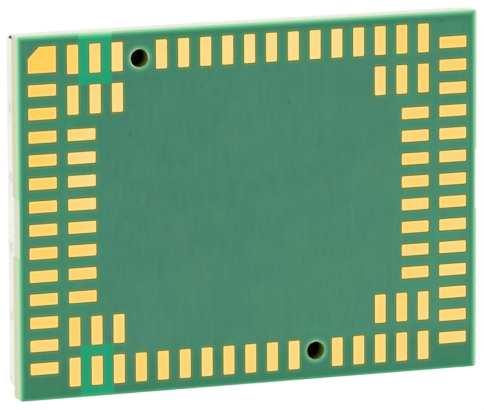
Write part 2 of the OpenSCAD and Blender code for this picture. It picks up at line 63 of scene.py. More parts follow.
def rounded_path(corners, radius, steps, spacing):
    """A closed path round a polygon. Each corner is an arc whose centre lies radius / sin(half the
    corner's angle) along its bisector, and every stretch is divided evenly into pieces no longer
    than spacing."""
    corners = np.asarray(corners, float)
    radius = np.broadcast_to(np.asarray(radius, float), len(corners))[:, None]
    back, ahead = np.roll(corners, 1, 0) - corners, np.roll(corners, -1, 0) - corners
    back /= np.linalg.norm(back, axis=1, keepdims=True)
    ahead /= np.linalg.norm(ahead, axis=1, keepdims=True)
    half = np.arccos(np.clip((back * ahead).sum(1, keepdims=True), -1, 1)) / 2
    bisector = (back + ahead) / np.linalg.norm(back + ahead, axis=1, keepdims=True)
    centre = corners + bisector * radius / np.sin(half)
    start = corners + back * radius / np.tan(half) - centre
    end = corners + ahead * radius / np.tan(half) - centre
    sweep, share = (np.pi - 2 * half)[:, None], np.linspace(0, 1, steps)[:, None]
    arcs = np.sin((1 - share) * sweep) * start[:, None] + np.sin(share * sweep) * end[:, None]
    track = (centre[:, None] + arcs / np.sin(sweep)).reshape(-1, 2)
    stretch = np.roll(track, -1, 0) - track
    pieces = np.ceil(np.linalg.norm(stretch, axis=1) / spacing).astype(int).clip(1)
    index = np.repeat(np.arange(len(track)), pieces)
    number = np.arange(len(index)) - np.repeat(np.cumsum(pieces) - pieces, pieces)
    return track[index] + stretch[index] * (number / pieces[index])[:, None]


def outline(inset):
    """The routed outline, moved in by inset: a rectangle with a notch on each short side."""
    x, y, notch = BOARD_HALF_L - inset, BOARD_HALF_W - inset, BOARD_HALF_L - TAB_DEPTH - inset
    low, high = TAB_SHIFT - TAB_HALF - inset, TAB_SHIFT + TAB_HALF + inset
    right = np.array([[x, -y], [x, low], [notch, low], [notch, high], [x, high], [x, y]])
    return np.concatenate([right, -right])


OUTLINE_RADII = np.tile([BOARD_CORNER, *[TAB_CORNER] * 4, BOARD_CORNER], 2)


def circle_path(centre, radius, steps):
    """A circle walked clockwise, so that the material lies outside it."""
    turn = -np.arange(steps) * 2 * np.pi / steps
    return np.asarray(centre) + radius * np.stack([np.cos(turn), np.sin(turn)], 1)


def outward(path):
    """Unit normals of a path, square to the chord between each point's neighbours, away from the
    material on its left."""
    chord = np.roll(path, -1, 0) - np.roll(path, 1, 0)
    normal = np.stack([chord[:, 1], -chord[:, 0]], 1)
    return normal / np.linalg.norm(normal, axis=1, keepdims=True)


def swept(path, insets, heights):
    """A profile carried along a closed path: in row i the path is moved in along its normals by
    insets[i], which may differ from point to point, and lies at heights[i]."""
    insets = np.asarray(insets, float).reshape(len(heights), -1, 1)
    flat = path - insets * outward(path)
    level = np.broadcast_to(np.reshape(heights, (-1, 1, 1)), flat.shape[:2] + (1,))
    return np.concatenate([flat, level], 2)


def ring_quads(rows, columns):
    """Quads between neighbouring rows of a grid whose columns close on themselves."""
    row, column = np.mgrid[0:rows - 1, 0:columns]
    after = (column + 1) % columns
    corners = [row * columns + column, row * columns + after,
               (row + 1) * columns + after, (row + 1) * columns + column]
    return np.stack(corners, -1).reshape(-1, 4)


def walled(rows):
    """A wall from rows of points round a closed path: the points and their quads."""
    return rows, ring_quads(*rows.shape[:2])


def filled(loops, points=np.zeros((0, 2))):
    """Triangles that fill the first loop less the others, through extra points: a constrained
    Delaunay triangulation, less the triangles that have all their corners on one of the other
    loops, which are convex. The loops' own points come first and keep their order."""
    flat = np.concatenate([*loops, points])
    sizes = np.array([len(loop) for loop in loops])
    first = np.repeat(np.cumsum(sizes) - sizes, sizes)
    here = np.arange(sizes.sum())
    after = first + (here - first + 1) % np.repeat(sizes, sizes)
    made = delaunay_2d_cdt([*map(tuple, flat)], np.stack([here, after], 1).tolist(), [], 1, 1e-7)
    if len(made[0]) != len(flat):
        raise ValueError("two edges of a filled face cross")
    triangles = np.array(made[2])
    loop = np.full(len(flat), -1)
    loop[:len(here)] = np.repeat(np.arange(len(loops)), sizes)
    own = loop[triangles]
    triangles = triangles[~((own > 0) & (own == own[:, :1])).all(1)]
    a, b, c = (flat[triangles[:, i]] for i in range(3))
    ahead, aside = b - a, c - a
    turned = ahead[:, 0] * aside[:, 1] < ahead[:, 1] * aside[:, 0]
    triangles[turned] = triangles[turned][:, ::-1]
    return flat, triangles


def make_piece(name, node_names, slot_name, parts, crease=40, **carried):
    """A mesh from parts, each (points, faces) with its own numbering, that stands for CAD nodes. It
    carries the named values, one to a point, for its material."""
    start, points, faces = 0, [], []
    for coords, corners in parts:
        coords = np.asarray(coords, float).reshape(-1, 3)
        points.append(coords)
        faces += [[start + i for i in face] for face in corners]
        start += len(coords)
    mesh = bpy.data.meshes.new(name)
    mesh.from_pydata(np.concatenate(points) * MM, [], faces)
    for key, values in carried.items():
        mesh.attributes.new(key, "FLOAT", "POINT").data.foreach_set("value", np.float32(values))
    piece = bpy.data.objects.new(name, mesh)
    bpy.context.scene.collection.objects.link(piece)
    merge = piece.modifiers.new("seams", "WELD")
    merge.merge_threshold = 1e-8
    with bpy.context.temp_override(object=piece, active_object=piece):
        bpy.ops.object.modifier_apply(modifier=merge.name)
    mesh.polygons.foreach_set("use_smooth", np.ones(len(mesh.polygons), bool))
    mesh.set_sharp_from_angle(angle=np.radians(crease))
    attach(piece, "root")
    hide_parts(*node_names)
    return piece


def smooth_noise(count, width):
    """Seeded noise round a closed path, averaged over width points, with unit spread."""
    spread = np.exp(-0.5 * (np.minimum(np.arange(count), count - np.arange(count)) / width) ** 2)
    noise = np.fft.ifft(np.fft.fft(chance.normal(size=count)) * np.fft.fft(spread)).real
    return (noise - noise.mean()) / noise.std()


edge = rounded_path(outline(0), OUTLINE_RADII, steps=7, spacing=0.15)
layer_steps = STEPS_PER_LAYER * CLOTH_LAYERS + 1
depth = np.linspace(0, 1, layer_steps)
edge_heights = BOARD_LOW + depth * (BOARD_HIGH - BOARD_LOW)
cloth = CLOTH_DEPTH * (1 + np.cos(2 * np.pi * CLOTH_LAYERS * depth))
burr = BURR_DEPTH * np.clip(1 - np.minimum(depth, 1 - depth) * layer_steps / BURR_STEPS, 0, 1)
ridges = RIDGE_DEPTH * (1 + np.clip(smooth_noise(len(edge), RIDGE_POINTS) / 2, -1, 1))
on_tab = (np.abs(edge[:, 0]) > BOARD_HALF_L - 1.5 * TAB_DEPTH) \
    & (np.abs(edge[:, 1] - np.sign(edge[:, 0]) * TAB_SHIFT) < TAB_HALF - 0.1)
torn = np.stack([smooth_noise(len(edge), TORN_POINTS) for _ in range(layer_steps)])
torn = TORN_DEPTH * np.clip(0.5 + torn / 4, 0, 1) * on_tab
edge_rows = swept(edge, cloth[:, None] + burr[:, None] + ridges + torn, edge_heights)

drilled = [circle_path(centre, HOLE_RADIUS, HOLE_STEPS) for centre in HOLE_CENTRES]
drill_marks = np.where(burr[:, None] > 0, BURR_DEPTH,
                       DRILL_DEPTH * chance.random((len(drilled), layer_steps, HOLE_STEPS)))
hole_rows = [swept(path, marks, edge_heights) for path, marks in zip(drilled, drill_marks)]
board_rows = [edge_rows, *hole_rows]


def board_face(row):
    """The flat face between the board's walls at one of their rows, with its triangles upwards."""
    flat, triangles = filled([rows[row, :, :2] for rows in board_rows])
    return np.column_stack([flat, np.full(len(flat), edge_heights[row])]), triangles


top_points, top_triangles = board_face(-1)
foot_points, foot_triangles = board_face(0)
laminate_board = make_piece(
    "laminate_board", ["board"], "laminate",
    [*map(walled, board_rows), (top_points, top_triangles), (foot_points, foot_triangles[:, ::-1])])


class Tone:
    """One output of a material's nodes. The operators add Math nodes, and node() adds any other."""

    def __init__(self, tree, socket=None):
        self.tree, self.socket = tree, socket

    def node(self, kind, settings, values, output=0):
        """A node of a type, with its settings (a ramp's stops among them), then the values or links
        of its sockets by name or number."""
        made = self.tree.nodes.new(kind)
        for name, value in settings.items():
            if name == "stops":
                ramp = made.color_ramp.elements
                for _ in range(len(value) - 2):
                    ramp.new(0.5)
                for stop, (place, colour) in zip(ramp, value):
                    stop.position, stop.color = place, colour
            else:
                setattr(made, name, value)
        for name, value in values.items():
            if isinstance(value, Tone):
                self.tree.links.new(value.socket, made.inputs[name])
            else:
                made.inputs[name].default_value = value
        return Tone(self.tree, made.outputs[output])

    def math(self, operation, *others):
        """A Math node on this tone and on other tones or numbers."""
        return self.node("ShaderNodeMath", {"operation": operation},
                         dict(enumerate((self, *others))))

    def __add__(self, other):
        return self.math("ADD", other)

    def __sub__(self, other):
        return self.math("SUBTRACT", other)

    def __rsub__(self, other):
        return self.math("MULTIPLY_ADD", -1, other)

    def __mul__(self, other):
        return self.math("MULTIPLY", other)

    def __mod__(self, other):
        return self.math("MODULO", other)

    def __abs__(self):
        return self.math("ABSOLUTE")

    __radd__, __rmul__ = __add__, __mul__

    def least(self, other):
        """The smaller of two tones."""
        return self.math("MINIMUM", other)

    def most(self, other):
        """The larger of two tones."""
        return self.math("MAXIMUM", other)

    def rise(self, low, high, smooth=True):
        """0 below low, 1 above high, with an S-shaped or straight rise between."""
        kind = "SMOOTHSTEP" if smooth else "LINEAR"
        return self.node("ShaderNodeMapRange", {"interpolation_type": kind},
                         {"Value": self, "From Min": low, "From Max": high})

    def noise(self, scale, detail=2.0, rough=0.5):
        """Noise over a place in millimetres, about 0.5, with features of 1 / scale."""
        return self.node("ShaderNodeTexNoise", {},
                         {"Vector": self, "Scale": scale, "Detail": detail, "Roughness": rough})

    def scaled(self, factor):
        """A colour made lighter or darker, or a place spread, by a factor."""
        return self.node("ShaderNodeVectorMath", {"operation": "SCALE"}, {0: self, "Scale": factor})

    def stretched(self, x, y, z):
        """A place scaled along the axes, which draws a pattern out along the smaller factors."""
        return self.node("ShaderNodeVectorMath", {"operation": "MULTIPLY"}, {0: self, 1: (x, y, z)})

    def distance(self, x, y, z):
        """How far a place lies from a point."""
        return self.node("ShaderNodeVectorMath", {"operation": "DISTANCE"},
                         {0: self, 1: (x, y, z)}, "Value")

    def ramp(self, *stops):
        """The colour at this place between stops, each (place, red, green, blue)."""
        stops = [(place, paint(*colour)) for place, *colour in stops]
        return self.node("ShaderNodeValToRGB", {"stops": stops}, {"Fac": self})

    def mix(self, low, high):
        """The colour low where this is 0, and high where it is 1."""
        return self.node("ShaderNodeMix", {"data_type": "RGBA"}, {0: self, 6: low, 7: high}, 2)


def paint(red, green, blue):
    """The linear colour of a display colour given in 0 to 255."""
    value = np.array([red, green, blue]) / 255
    linear = np.where(value < 0.04045, value / 12.92, ((value + 0.055) / 1.055) ** 2.4)
    return (*linear, 1.0)


class Finish:
    """A material: its shader, a start for its nodes, and the place on the part in millimetres."""

    def __init__(self, name, **constants):
        self.material = bpy.data.materials.new(name)
        self.material.use_nodes = True
        self.shader = self.material.node_tree.nodes["Principled BSDF"]
        for key, value in constants.items():
            self.shader.inputs[key.replace("_", " ")].default_value = value
        self.start = Tone(self.material.node_tree)
        self.place = self.start.node("ShaderNodeTexCoord", {}, {}, "Object").scaled(1 / MM)

    def axes(self):
        """The place's three coordinates."""
        split = self.start.node("ShaderNodeSeparateXYZ", {}, {0: self.place})
        return [Tone(split.tree, output) for output in split.socket.node.outputs]

    def from_holes(self):
        """The distance from the nearer locating hole's centre line."""
        flat = self.place.stretched(1, 1, 0)
        near, far = (flat.distance(*centre, 0) for centre in HOLE_CENTRES)
        return near.least(far)

    def in_window(self):
        """1 inside the two windows where the board holds no copper."""
        x, y, _ = self.axes()
        return abs(x - WINDOW_X).rise(WINDOW_HALF + WINDOW_FLANK, WINDOW_HALF - WINDOW_FLANK) \
            * abs(y).rise(WINDOW_LOW - WINDOW_FLANK, WINDOW_LOW + WINDOW_FLANK)

    def edge_glow_band(self):
        """The distance from the routed edge, and the tone there: a pale band that fades inwards,
        partly the bare laminate at the cut edge and partly a painted glow. The glow is painted
        broader at the right and weaker at the bottom, and in the windows it fades to their own
        green."""
        x, y, _ = self.axes()
        left, right = BOARD_HALF_L - 0.03 + x, BOARD_HALF_L - 0.15 - x
        top, bottom = BOARD_HALF_W - 0.08 - y, BOARD_HALF_W + 0.15 + y
        distance = left.least(right).least(top.least(bottom))
        inwards = distance.rise(-0.15, 0.6, smooth=False)
        # Painted glow: pale at the edge, fading inwards to the mask's green.
        tone = inwards.ramp((0.0, 220, 242, 220), (0.26, 158, 218, 171),
                            (0.5, 78, 170, 122), (0.8, 47, 133, 94))
        window_tone = inwards.ramp((0.0, 222, 243, 220), (0.28, 172, 228, 188),
                                   (0.52, 82, 197, 133), (0.9, *WINDOW_GREEN))
        window_tone = (y.rise(5, -5) * 0.6).mix(window_tone, paint(*WINDOW_GREEN))
        return distance, self.in_window().mix(tone, window_tone)

    def attribute(self, name):
        """A value that the mesh carries."""
        return self.start.node("ShaderNodeAttribute", {"attribute_name": name}, {}, "Fac")

    def feed(self, **tones):
        """Links tones to the shader's sockets."""
        for key, tone in tones.items():
            self.start.tree.links.new(tone.socket, self.shader.inputs[key.replace("_", " ")])

    def bump(self, height, distance):
        """Turns a height from 0 to 1 into relief that is distance millimetres deep."""
        self.feed(Normal=self.start.node(
            "ShaderNodeBump", {}, {"Height": height, "Distance": distance * MM, "Strength": 1.0}))

    def cover(self, *pieces):
        """Puts the material on pieces and CAD nodes."""
        for piece in pieces:
            if not piece.material_slots:
                piece.data.materials.append(self.material)
            for held in piece.material_slots:
                held.material = self.material


laminate = Finish("glass_epoxy", Roughness=0.62, Specular_IOR_Level=0.25)
x, y, z = laminate.axes()
from_edge, edge_glow_tone = laminate.edge_glow_band()
from_hole = laminate.from_holes()
fibres = laminate.place.stretched(1, 1, 9).noise(5, 3)

# Its land side is painted dark olive in the narrow gaps of the mask's openings, a painted shade for
# the gaps; it takes the pale edge band, partly bare laminate and partly a painted glow, and it is
# frayed round the holes.
bare = from_edge.rise(0.6, 0.4).most(from_hole.rise(1.15, 1.05))
frayed = laminate.place.noise(0.8, 2).rise(0.4, 0.6) * from_hole.rise(0.95, 0.8)
frayed_tone = frayed.mix(paint(104, 172, 124), paint(200, 222, 184))
bare_tone = from_hole.rise(1.4, 1.2).mix(edge_glow_tone, frayed_tone)
# Painted shade: the gaps round the lands are dark olive, though the bare laminate is paler.
shaded_gap_tone = laminate.place.noise(3).mix(paint(98, 116, 40), paint(122, 136, 56))
shaded_gap_tone = (laminate.in_window() * 0.5).mix(shaded_gap_tone, paint(60, 140, 84))
face_tone = bare.mix(shaded_gap_tone, bare_tone)

# Its cut edge shows the cloth layers, greener under the mask, pale along the long sides and
# whitened where the tabs were torn off. The bores are painted dark olive, a resin-smeared wall in
# painted shade, and painted darker still with depth.
layers = (z - BOARD_LOW) * (CLOTH_LAYERS / (BOARD_HIGH - BOARD_LOW))
bundle = layers.math("PINGPONG", 0.5) * 2
cloth_tone = (bundle * 0.5 + fibres * 0.5).mix(paint(187, 186, 153), paint(224, 223, 196))
green_tone = fibres.mix(paint(172, 214, 166), paint(196, 230, 190))
cloth_tone = z.rise(3.2, 3.6).mix(cloth_tone, green_tone)
long_side = abs(y).rise(BOARD_HALF_W - 0.15, BOARD_HALF_W - 0.05)
long_side_tone = z.rise(2.4, 3.4).mix(paint(250, 250, 243), paint(232, 244, 222))
cloth_tone = (long_side * 0.8).mix(cloth_tone, long_side_tone)
tab_side = abs(y - x.math("SIGN") * TAB_SHIFT).rise(TAB_HALF, TAB_HALF - 0.15) \
    * abs(x).rise(BOARD_HALF_L - 0.3, BOARD_HALF_L - 0.2)
torn_tone = laminate.place.noise(7, 4).mix(paint(200, 206, 184), paint(222, 226, 206))
cut_tone = tab_side.mix(cloth_tone, torn_tone)
shaded_bore_tone = fibres.mix(paint(88, 104, 33), paint(134, 148, 60))
# Painted shade: the bore wall darkens with depth.
shaded_bore_tone = shaded_bore_tone.scaled(z.rise(2.4, 3.8) * 0.9 + 0.1)
wall_tone = from_hole.rise(0.9, 0.85).mix(cut_tone, shaded_bore_tone)
on_face = z.rise(BOARD_HIGH - 0.02, BOARD_HIGH - 0.005)
laminate.feed(Base_Color=on_face.mix(wall_tone, face_tone))
laminate.bump(laminate.place.stretched(1, 1, 4).noise(14, 4), 0.01)
laminate.cover(laminate_board)

# Under the board lies the component side: a mask film, open along a bare plated track that the
# shield frame is soldered to. Both are printed and plated straight on the laminate.
hidden_mask = Finish("component_mask", Roughness=0.4, Specular_IOR_Level=0.2)
hidden_tone = hidden_mask.place.noise(1.5, 3).mix(paint(62, 122, 96), paint(74, 137, 110))
hidden_mask.feed(Base_Color=hidden_tone)
hidden_mask.bump(hidden_mask.place.noise(6, 3), 0.004)
hidden_mask.cover(nodes["component_side_mask"])

plating = Finish("track_plating", Metallic=1.0)
plating.feed(Base_Color=plating.place.noise(2).mix(paint(248, 200, 92), paint(252, 212, 116)),
             Roughness=plating.place.noise(9).rise(0, 1, smooth=False) * 0.2 + 0.25)
plating.cover(nodes["shield_track"])

# The chips under the shield are moulded in black compound: two on green laminate carriers that
# stand on solder balls, the rest leadless, with flat tinned terminals. All are soldered down.
SOLDER_AT = 2.3
BALL_H, CARRIER_T, TERMINAL_T = 0.25, 0.3, 0.05


def soldered(finish, metal, body_tone, roughness):
    """Tinned metal over the share of a surface given by metal, and a body of one tone elsewhere."""
    tin = finish.place.noise(7, 3).mix(paint(176, 176, 172), paint(206, 206, 200))
    finish.feed(Base_Color=metal.mix(body_tone, tin), Metallic=metal,
                Roughness=roughness - metal * 0.2)


grid_chip = Finish("ball_grid_chip", Specular_IOR_Level=0.4)
z = grid_chip.axes()[2]
carrier_high = SOLDER_AT - BALL_H
carrier_low = carrier_high - CARRIER_T
compound = grid_chip.place.noise(8, 4)
moulded_tone = compound.mix(paint(30, 31, 32), paint(48, 48, 49))
carrier_tone = grid_chip.place.noise(3, 3).mix(paint(38, 84, 58), paint(54, 104, 74))
chip_tone = z.rise(carrier_low - 0.02, carrier_low - 0.005).mix(moulded_tone, carrier_tone)
soldered(grid_chip, z.rise(carrier_high + 0.005, carrier_high + 0.02), chip_tone,
         compound * 0.2 + 0.5)
grid_chip.bump(grid_chip.place.noise(25, 3), 0.01)
grid_chip.cover(nodes["processor"], nodes["memory"])

leadless = Finish("leadless_chip", Specular_IOR_Level=0.4)
z = leadless.axes()[2]
compound = leadless.place.noise(8, 4)
soldered(leadless, z.rise(SOLDER_AT - TERMINAL_T, SOLDER_AT - TERMINAL_T + 0.01),
         compound.mix(paint(33, 33, 34), paint(50, 49, 49)), compound * 0.2 + 0.5)
leadless.bump(leadless.place.noise(25, 3), 0.01)
leadless.cover(*(nodes[name] for name in (
    "transceiver", "power_amplifier", "low_noise_amplifier", "antenna_switch", "power_manager")))

# The oscillator, the crystal and the filters are pale ceramic boxes, each closed by a thin plated
# lid that is welded on round its seam and stands a little inside the rim.
PACKAGE_LID_T = 0.15
for name in ("clock_crystal", "reference_oscillator", "transmit_filter", "receive_filters"):
    package = Finish(name + "_package")
    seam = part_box(name)[0][2] / MM + PACKAGE_LID_T
    fired = package.place.noise(4, 3)
    soldered(package, package.axes()[2].rise(seam - 0.005, seam - 0.02),
             fired.mix(paint(196, 194, 184), paint(224, 220, 206)), fired * 0.2 + 0.4)
    package.bump(package.place.noise(18, 3), 0.006)
    package.cover(nodes[name])

# The chip passives stand in lanes: sintered ceramic capacitors, and resistors of white ceramic with
# a dark glaze on the outer face. Their ends are dipped in metal and tinned.
PASSIVE_L, BULK_L, BULK_PITCH, END_L = 1.0, 2.0, 2.6, 0.25
for name, dark, light in (("decoupling_capacitors", (150, 116, 82), (182, 148, 110)),
                          ("radio_passives", (168, 140, 108), (196, 170, 138)),
                          ("bulk_capacitors", (142, 108, 76), (172, 138, 102)),
                          ("chip_resistors", (24, 25, 28), (52, 53, 56))):
    chip = Finish(name + "_ends")
    x, y, z = chip.axes()
    low, high = ([value / MM for value in corner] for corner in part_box(name))
    if name == "bulk_capacitors":
        half, from_end = BULK_L / 2, (y - low[1]) % BULK_PITCH
    else:
        half, from_end = PASSIVE_L / 2, (x - low[0]).least(high[0] - x)
    ends = abs(from_end - half).rise(half - END_L - 0.005, half - END_L + 0.005)
    sintered = chip.place.noise(6, 3)
    chip_tone = sintered.mix(paint(*dark), paint(*light))
    if name == "chip_resistors":
        chip_tone = z.rise(low[2] + 0.05, low[2] + 0.03).mix(paint(226, 224, 216), chip_tone)
    soldered(chip, ends, chip_tone, sintered * 0.2 + 0.4)
    chip.bump(chip.place.noise(20, 2), 0.006)
    chip.cover(nodes[name])

# The power parts: inductors pressed from ferrite powder round a coil, on two flat terminals, and
# storage capacitors moulded in yellow resin, with flat leads folded under them.
STORAGE_LEAD_T = 0.12
ferrite = Finish("pressed_ferrite")
powder = ferrite.place.noise(9, 4)
soldered(ferrite, ferrite.axes()[2].rise(SOLDER_AT - TERMINAL_T, SOLDER_AT - TERMINAL_T + 0.01),
         powder.mix(paint(52, 51, 50), paint(86, 84, 80)), powder * 0.2 + 0.6)
ferrite.bump(ferrite.place.noise(22, 3), 0.012)
ferrite.cover(nodes["converter_inductors"])

resin = Finish("storage_moulding")
cured = resin.place.noise(5, 3)
soldered(resin, resin.axes()[2].rise(SOLDER_AT - STORAGE_LEAD_T, SOLDER_AT - STORAGE_LEAD_T + 0.01),
         cured.mix(paint(196, 158, 58), paint(220, 182, 84)), cured * 0.2 + 0.45)
resin.bump(resin.place.noise(20, 3), 0.008)
resin.cover(nodes["storage_capacitors"])

# The shield is two pieces of thin nickel-silver sheet. The frame is soldered to the track, and the
# lid snaps over it: a blank stamped out flat, with dimples pressed in and four walls folded up.
SHEET_T, FOLD_R, CORNER_GAP = 0.15, 0.1, 0.05
LID_HALF_L, LID_HALF_W, LID_Y, LID_HIGH = 20.7, 15.225, 0.225, 1.95
PLATE_X, PLATE_Y = LID_HALF_L - FOLD_R - SHEET_T, LID_HALF_W - FOLD_R - SHEET_T
FOLD_MID = FOLD_R + SHEET_T / 2
FOLD_ARC = FOLD_MID * np.pi / 2
FLAP = FOLD_ARC + LID_HIGH - FOLD_R - SHEET_T
SNAP_R, SNAP_DEPTH, SNAP_PITCH = 0.4, 0.1, 6.0
SNAP_AT = FOLD_ARC + (LID_HIGH - FOLD_R - SHEET_T) / 2
SNAP_SPHERE = (SNAP_R ** 2 + SNAP_DEPTH ** 2) / (2 * SNAP_DEPTH)
PRY_HALF, PRY_HIGH, PRY_Y, PRY_CORNER = 0.3, 0.45, 4.2, 0.05
PRY_L = FOLD_ARC + PRY_HIGH - FOLD_R - SHEET_T
SHEAR, BLANK_CORNER, SLOT_CLEAR = 0.012, 0.02, 0.05

snap_x = (np.arange(6) - 2.5) * SNAP_PITCH
snap_y = (np.arange(4) - 1.5) * SNAP_PITCH
snaps = np.array([(x, side * (PLATE_Y + SNAP_AT)) for x in snap_x for side in (-1, 1)]
                 + [(side * (PLATE_X + SNAP_AT), y) for y in snap_y for side in (-1, 1)])


def from_snaps(flat):
    """The distance from the nearest snap's middle on the blank."""
    return np.linalg.norm(flat[..., None, :] - snaps, axis=-1).min(-1)


def pressed(flat):
    """How far the sheet is pressed in at a place on the blank: a spherical cap at each snap."""
    cap = np.sqrt(SNAP_SPHERE ** 2 - np.minimum(from_snaps(flat), SNAP_R) ** 2)
    return cap - SNAP_SPHERE + SNAP_DEPTH


def folded(blank):
    """The lid folded from its blank, for points (x, y, outward offset from the sheet's middle).
    Past a fold line the sheet turns through distance / FOLD_MID, up to a right angle, and then runs
    straight up; the offset is laid along the sheet's own normal."""
    flat, offset = blank[..., :2], blank[..., 2] - pressed(blank[..., :2])
    past = np.maximum(np.abs(flat) - [PLATE_X, PLATE_Y], 0)
    turn = np.minimum(past / FOLD_MID, np.pi / 2)
    level = np.minimum(np.abs(flat), [PLATE_X, PLATE_Y])
    level = level + (FOLD_MID + offset[..., None]) * np.sin(turn)
    turn, past = turn.max(-1), past.max(-1)
    height = SHEET_T / 2 + FOLD_MID - (FOLD_MID + offset) * np.cos(turn)
    height = height + np.maximum(past - FOLD_ARC, 0)
    return np.concatenate([np.sign(flat) * level + [0, LID_Y], height[..., None]], -1)


def box_corners(centre_x, centre_y, length, width):
    """The four corners of a rectangle along X and Y, counter-clockwise."""
    x, y = length / 2, width / 2
    return np.array([[-x, -y], [x, -y], [x, y], [-x, y]]) + [centre_x, centre_y]


def grid_points(xs, ys):
    """The points where lines at xs and lines at ys cross."""
    return np.stack(np.meshgrid(xs, ys), -1).reshape(-1, 2)


end_x, end_y = PLATE_X - CORNER_GAP, PLATE_Y - CORNER_GAP
half_blank = np.array([
    [PLATE_X, -PLATE_Y], [PLATE_X, -end_y], [PLATE_X + FLAP, -end_y], [PLATE_X + FLAP, end_y],
    [PLATE_X, end_y], [PLATE_X, PLATE_Y], [end_x, PLATE_Y], [end_x, PLATE_Y + FLAP],
    [-end_x, PLATE_Y + FLAP], [-end_x, PLATE_Y]])
blank_edge = rounded_path(np.concatenate([half_blank, -half_blank]), BLANK_CORNER,
                          steps=4, spacing=0.08)
pry_slots = [
    rounded_path(box_corners(side * (PLATE_X + PRY_L / 2), side * PRY_Y, PRY_L, 2 * PRY_HALF),
                 PRY_CORNER, steps=5, spacing=0.05)[::-1] for side in (-1, 1)]
sheet_rows = [swept(path, [SHEAR, 0, 0, SHEAR],
                    [SHEET_T / 2, SHEET_T / 2 - SHEAR, SHEAR - SHEET_T / 2, -SHEET_T / 2])
              for path in [blank_edge, *pry_slots]]

# Points across each fold, and rings round each snap, carry the bends between the sheet's edges.
fold_lines = np.concatenate([[-0.6, -0.12], np.linspace(0, FOLD_ARC, 9), [FOLD_ARC + 0.12]])
run_x, run_y = (np.arange(-end + 0.25, end - 0.2, 0.5) for end in (end_x, end_y))
bends = [grid_points(run_x, side * (PLATE_Y + fold_lines)) for side in (-1, 1)]
bends += [grid_points(side * (PLATE_X + fold_lines), run_y) for side in (-1, 1)]
snap_rings = np.concatenate([[[0, 0]], *(circle_path((0, 0), radius, 24) for radius in (
    0.08, 0.16, 0.24, 0.32, 0.37, 0.4, 0.43, 0.5))])
plate = grid_points(np.arange(-19, 19.1, 2), np.arange(-14, 14.1, 2))
bend_points = np.concatenate([plate, *bends, (snaps[:, None] + snap_rings).reshape(-1, 2)])
past_fold = np.abs(bend_points[:, 0]) - PLATE_X
off_slot = np.abs(bend_points[:, 1] - np.sign(bend_points[:, 0]) * PRY_Y)
in_slot = (past_fold > -SLOT_CLEAR) & (past_fold < PRY_L + SLOT_CLEAR) \
    & (off_slot < PRY_HALF + SLOT_CLEAR)
bend_points = bend_points[~in_slot]

sheet_parts = [walled(folded(rows)) for rows in sheet_rows]
inner = [np.zeros(rows[..., 0].size) for rows in sheet_rows]
struck = list(inner)
for row, side in ((0, 1), (-1, -1)):
    flat, triangles = filled([rows[row, :, :2] for rows in sheet_rows], bend_points)
    face = folded(np.column_stack([flat, np.full(len(flat), side * SHEET_T / 2)]))
    sheet_parts.append((face, triangles[:, ::-side]))
    inner.append(np.full(len(flat), row != 0, float))
    struck.append(np.interp(from_snaps(flat), [0.2, 0.32, 0.4, 0.5], [0, 1, 1, 0]))
pressed_lid = make_piece("pressed_lid", ["shield_lid"], "lid_sheet", sheet_parts, crease=35,
                         inner=np.concatenate(inner), struck=np.concatenate(struck))


def sheet_metal(name, dark, light):
    """Rolled sheet: a grain drawn out along X, with cloudy patches and a soft satin gloss. A
    darker ring is painted round each snap, and the lid's inside is painted dark, a painted shade
    for the closed cavity under it."""
    sheet = Finish(name, Metallic=1.0)
    grain = sheet.place.stretched(0.3, 10, 10).noise(2.5, 2)
    cloud = sheet.place.noise(0.35, 2)
    bright = (grain * 0.25 + cloud * 0.75).mix(paint(*dark), paint(*light))
    # A darker ring is painted round each snap.
    bright = (sheet.attribute("struck") * 0.32).mix(bright, paint(176, 174, 166))
    # The lid's inside is painted dark: painted shade for the closed cavity under it.
    sheet.feed(Base_Color=(sheet.attribute("inner") * 0.96).mix(bright, paint(112, 110, 104)),
               Roughness=grain * 0.16 + 0.24)
    sheet.bump(grain, 0.0006)
    return sheet


sheet_metal("lid_sheet", (224, 222, 213), (240, 238, 230)).cover(pressed_lid)
# The frame's sheet is painted much darker than the lid's, though it is the same metal: painted
# shade for the frame inside the closed shield.
sheet_metal("frame_sheet", (150, 148, 140), (180, 178, 170)).cover(nodes["shield_frame"])

# The land side is covered by a green solder mask, a film of photo-cured resin that is left open
# over every land and round the holes. It ends just short of the routed edge, and it lies lower and
# shows a brighter green in two windows where no copper lies under it.
MASK_T, MASK_PULLBACK, WINDOW_STEP, HOLE_RING = 0.04, 0.12, 0.015, 0.22
EDGE_FILM = [0, 0, 0.012, 0.04], [0, 0.5, 0.85, 1]
OPENING_FILM = [0, 0, 0.01, 0.04, 0.17], [0, 0.6, 0.88, 0.98, 1]
OPENING_BRINK = [1, 1, 1, 0.8, 0]
RING_FILM = [0, 0.02, 0.05, 0.09], [0, 0.55, 0.9, 1]
LAND_L, LAND_W, LAND_CORNER, LAND_GROW = 2.5, 1.0, 0.1, 0.1
LAND_MARGIN, ROW_GAP, PITCH = 1.0, 1.0, 2.0
OUTER_X, OUTER_Y = (half - LAND_MARGIN - LAND_L / 2 for half in (BOARD_HALF_L, BOARD_HALF_W))
INNER_X, INNER_Y = OUTER_X - LAND_L - ROW_GAP, OUTER_Y - LAND_L - ROW_GAP
row_x = (np.arange(17) - 8) * PITCH
side_y = (6.5 - np.arange(14)) * PITCH
corner_x = row_x[[0, 1, 2, -3, -2, -1]]
FIRST_CHAMFER, FIRST_CORNER, FIRST_OPENING_CORNER = 1.0, 0.04, 0.06
FIRST_MIDDLE, FIRST_REACH = np.array([-OUTER_X, side_y[0] + 0.8]), (3.6, 3.2)
OPENING_CLEAR, RING_CLEAR, EDGE_CLEAR = 0.22, 0.12, (0.85, 0.65)


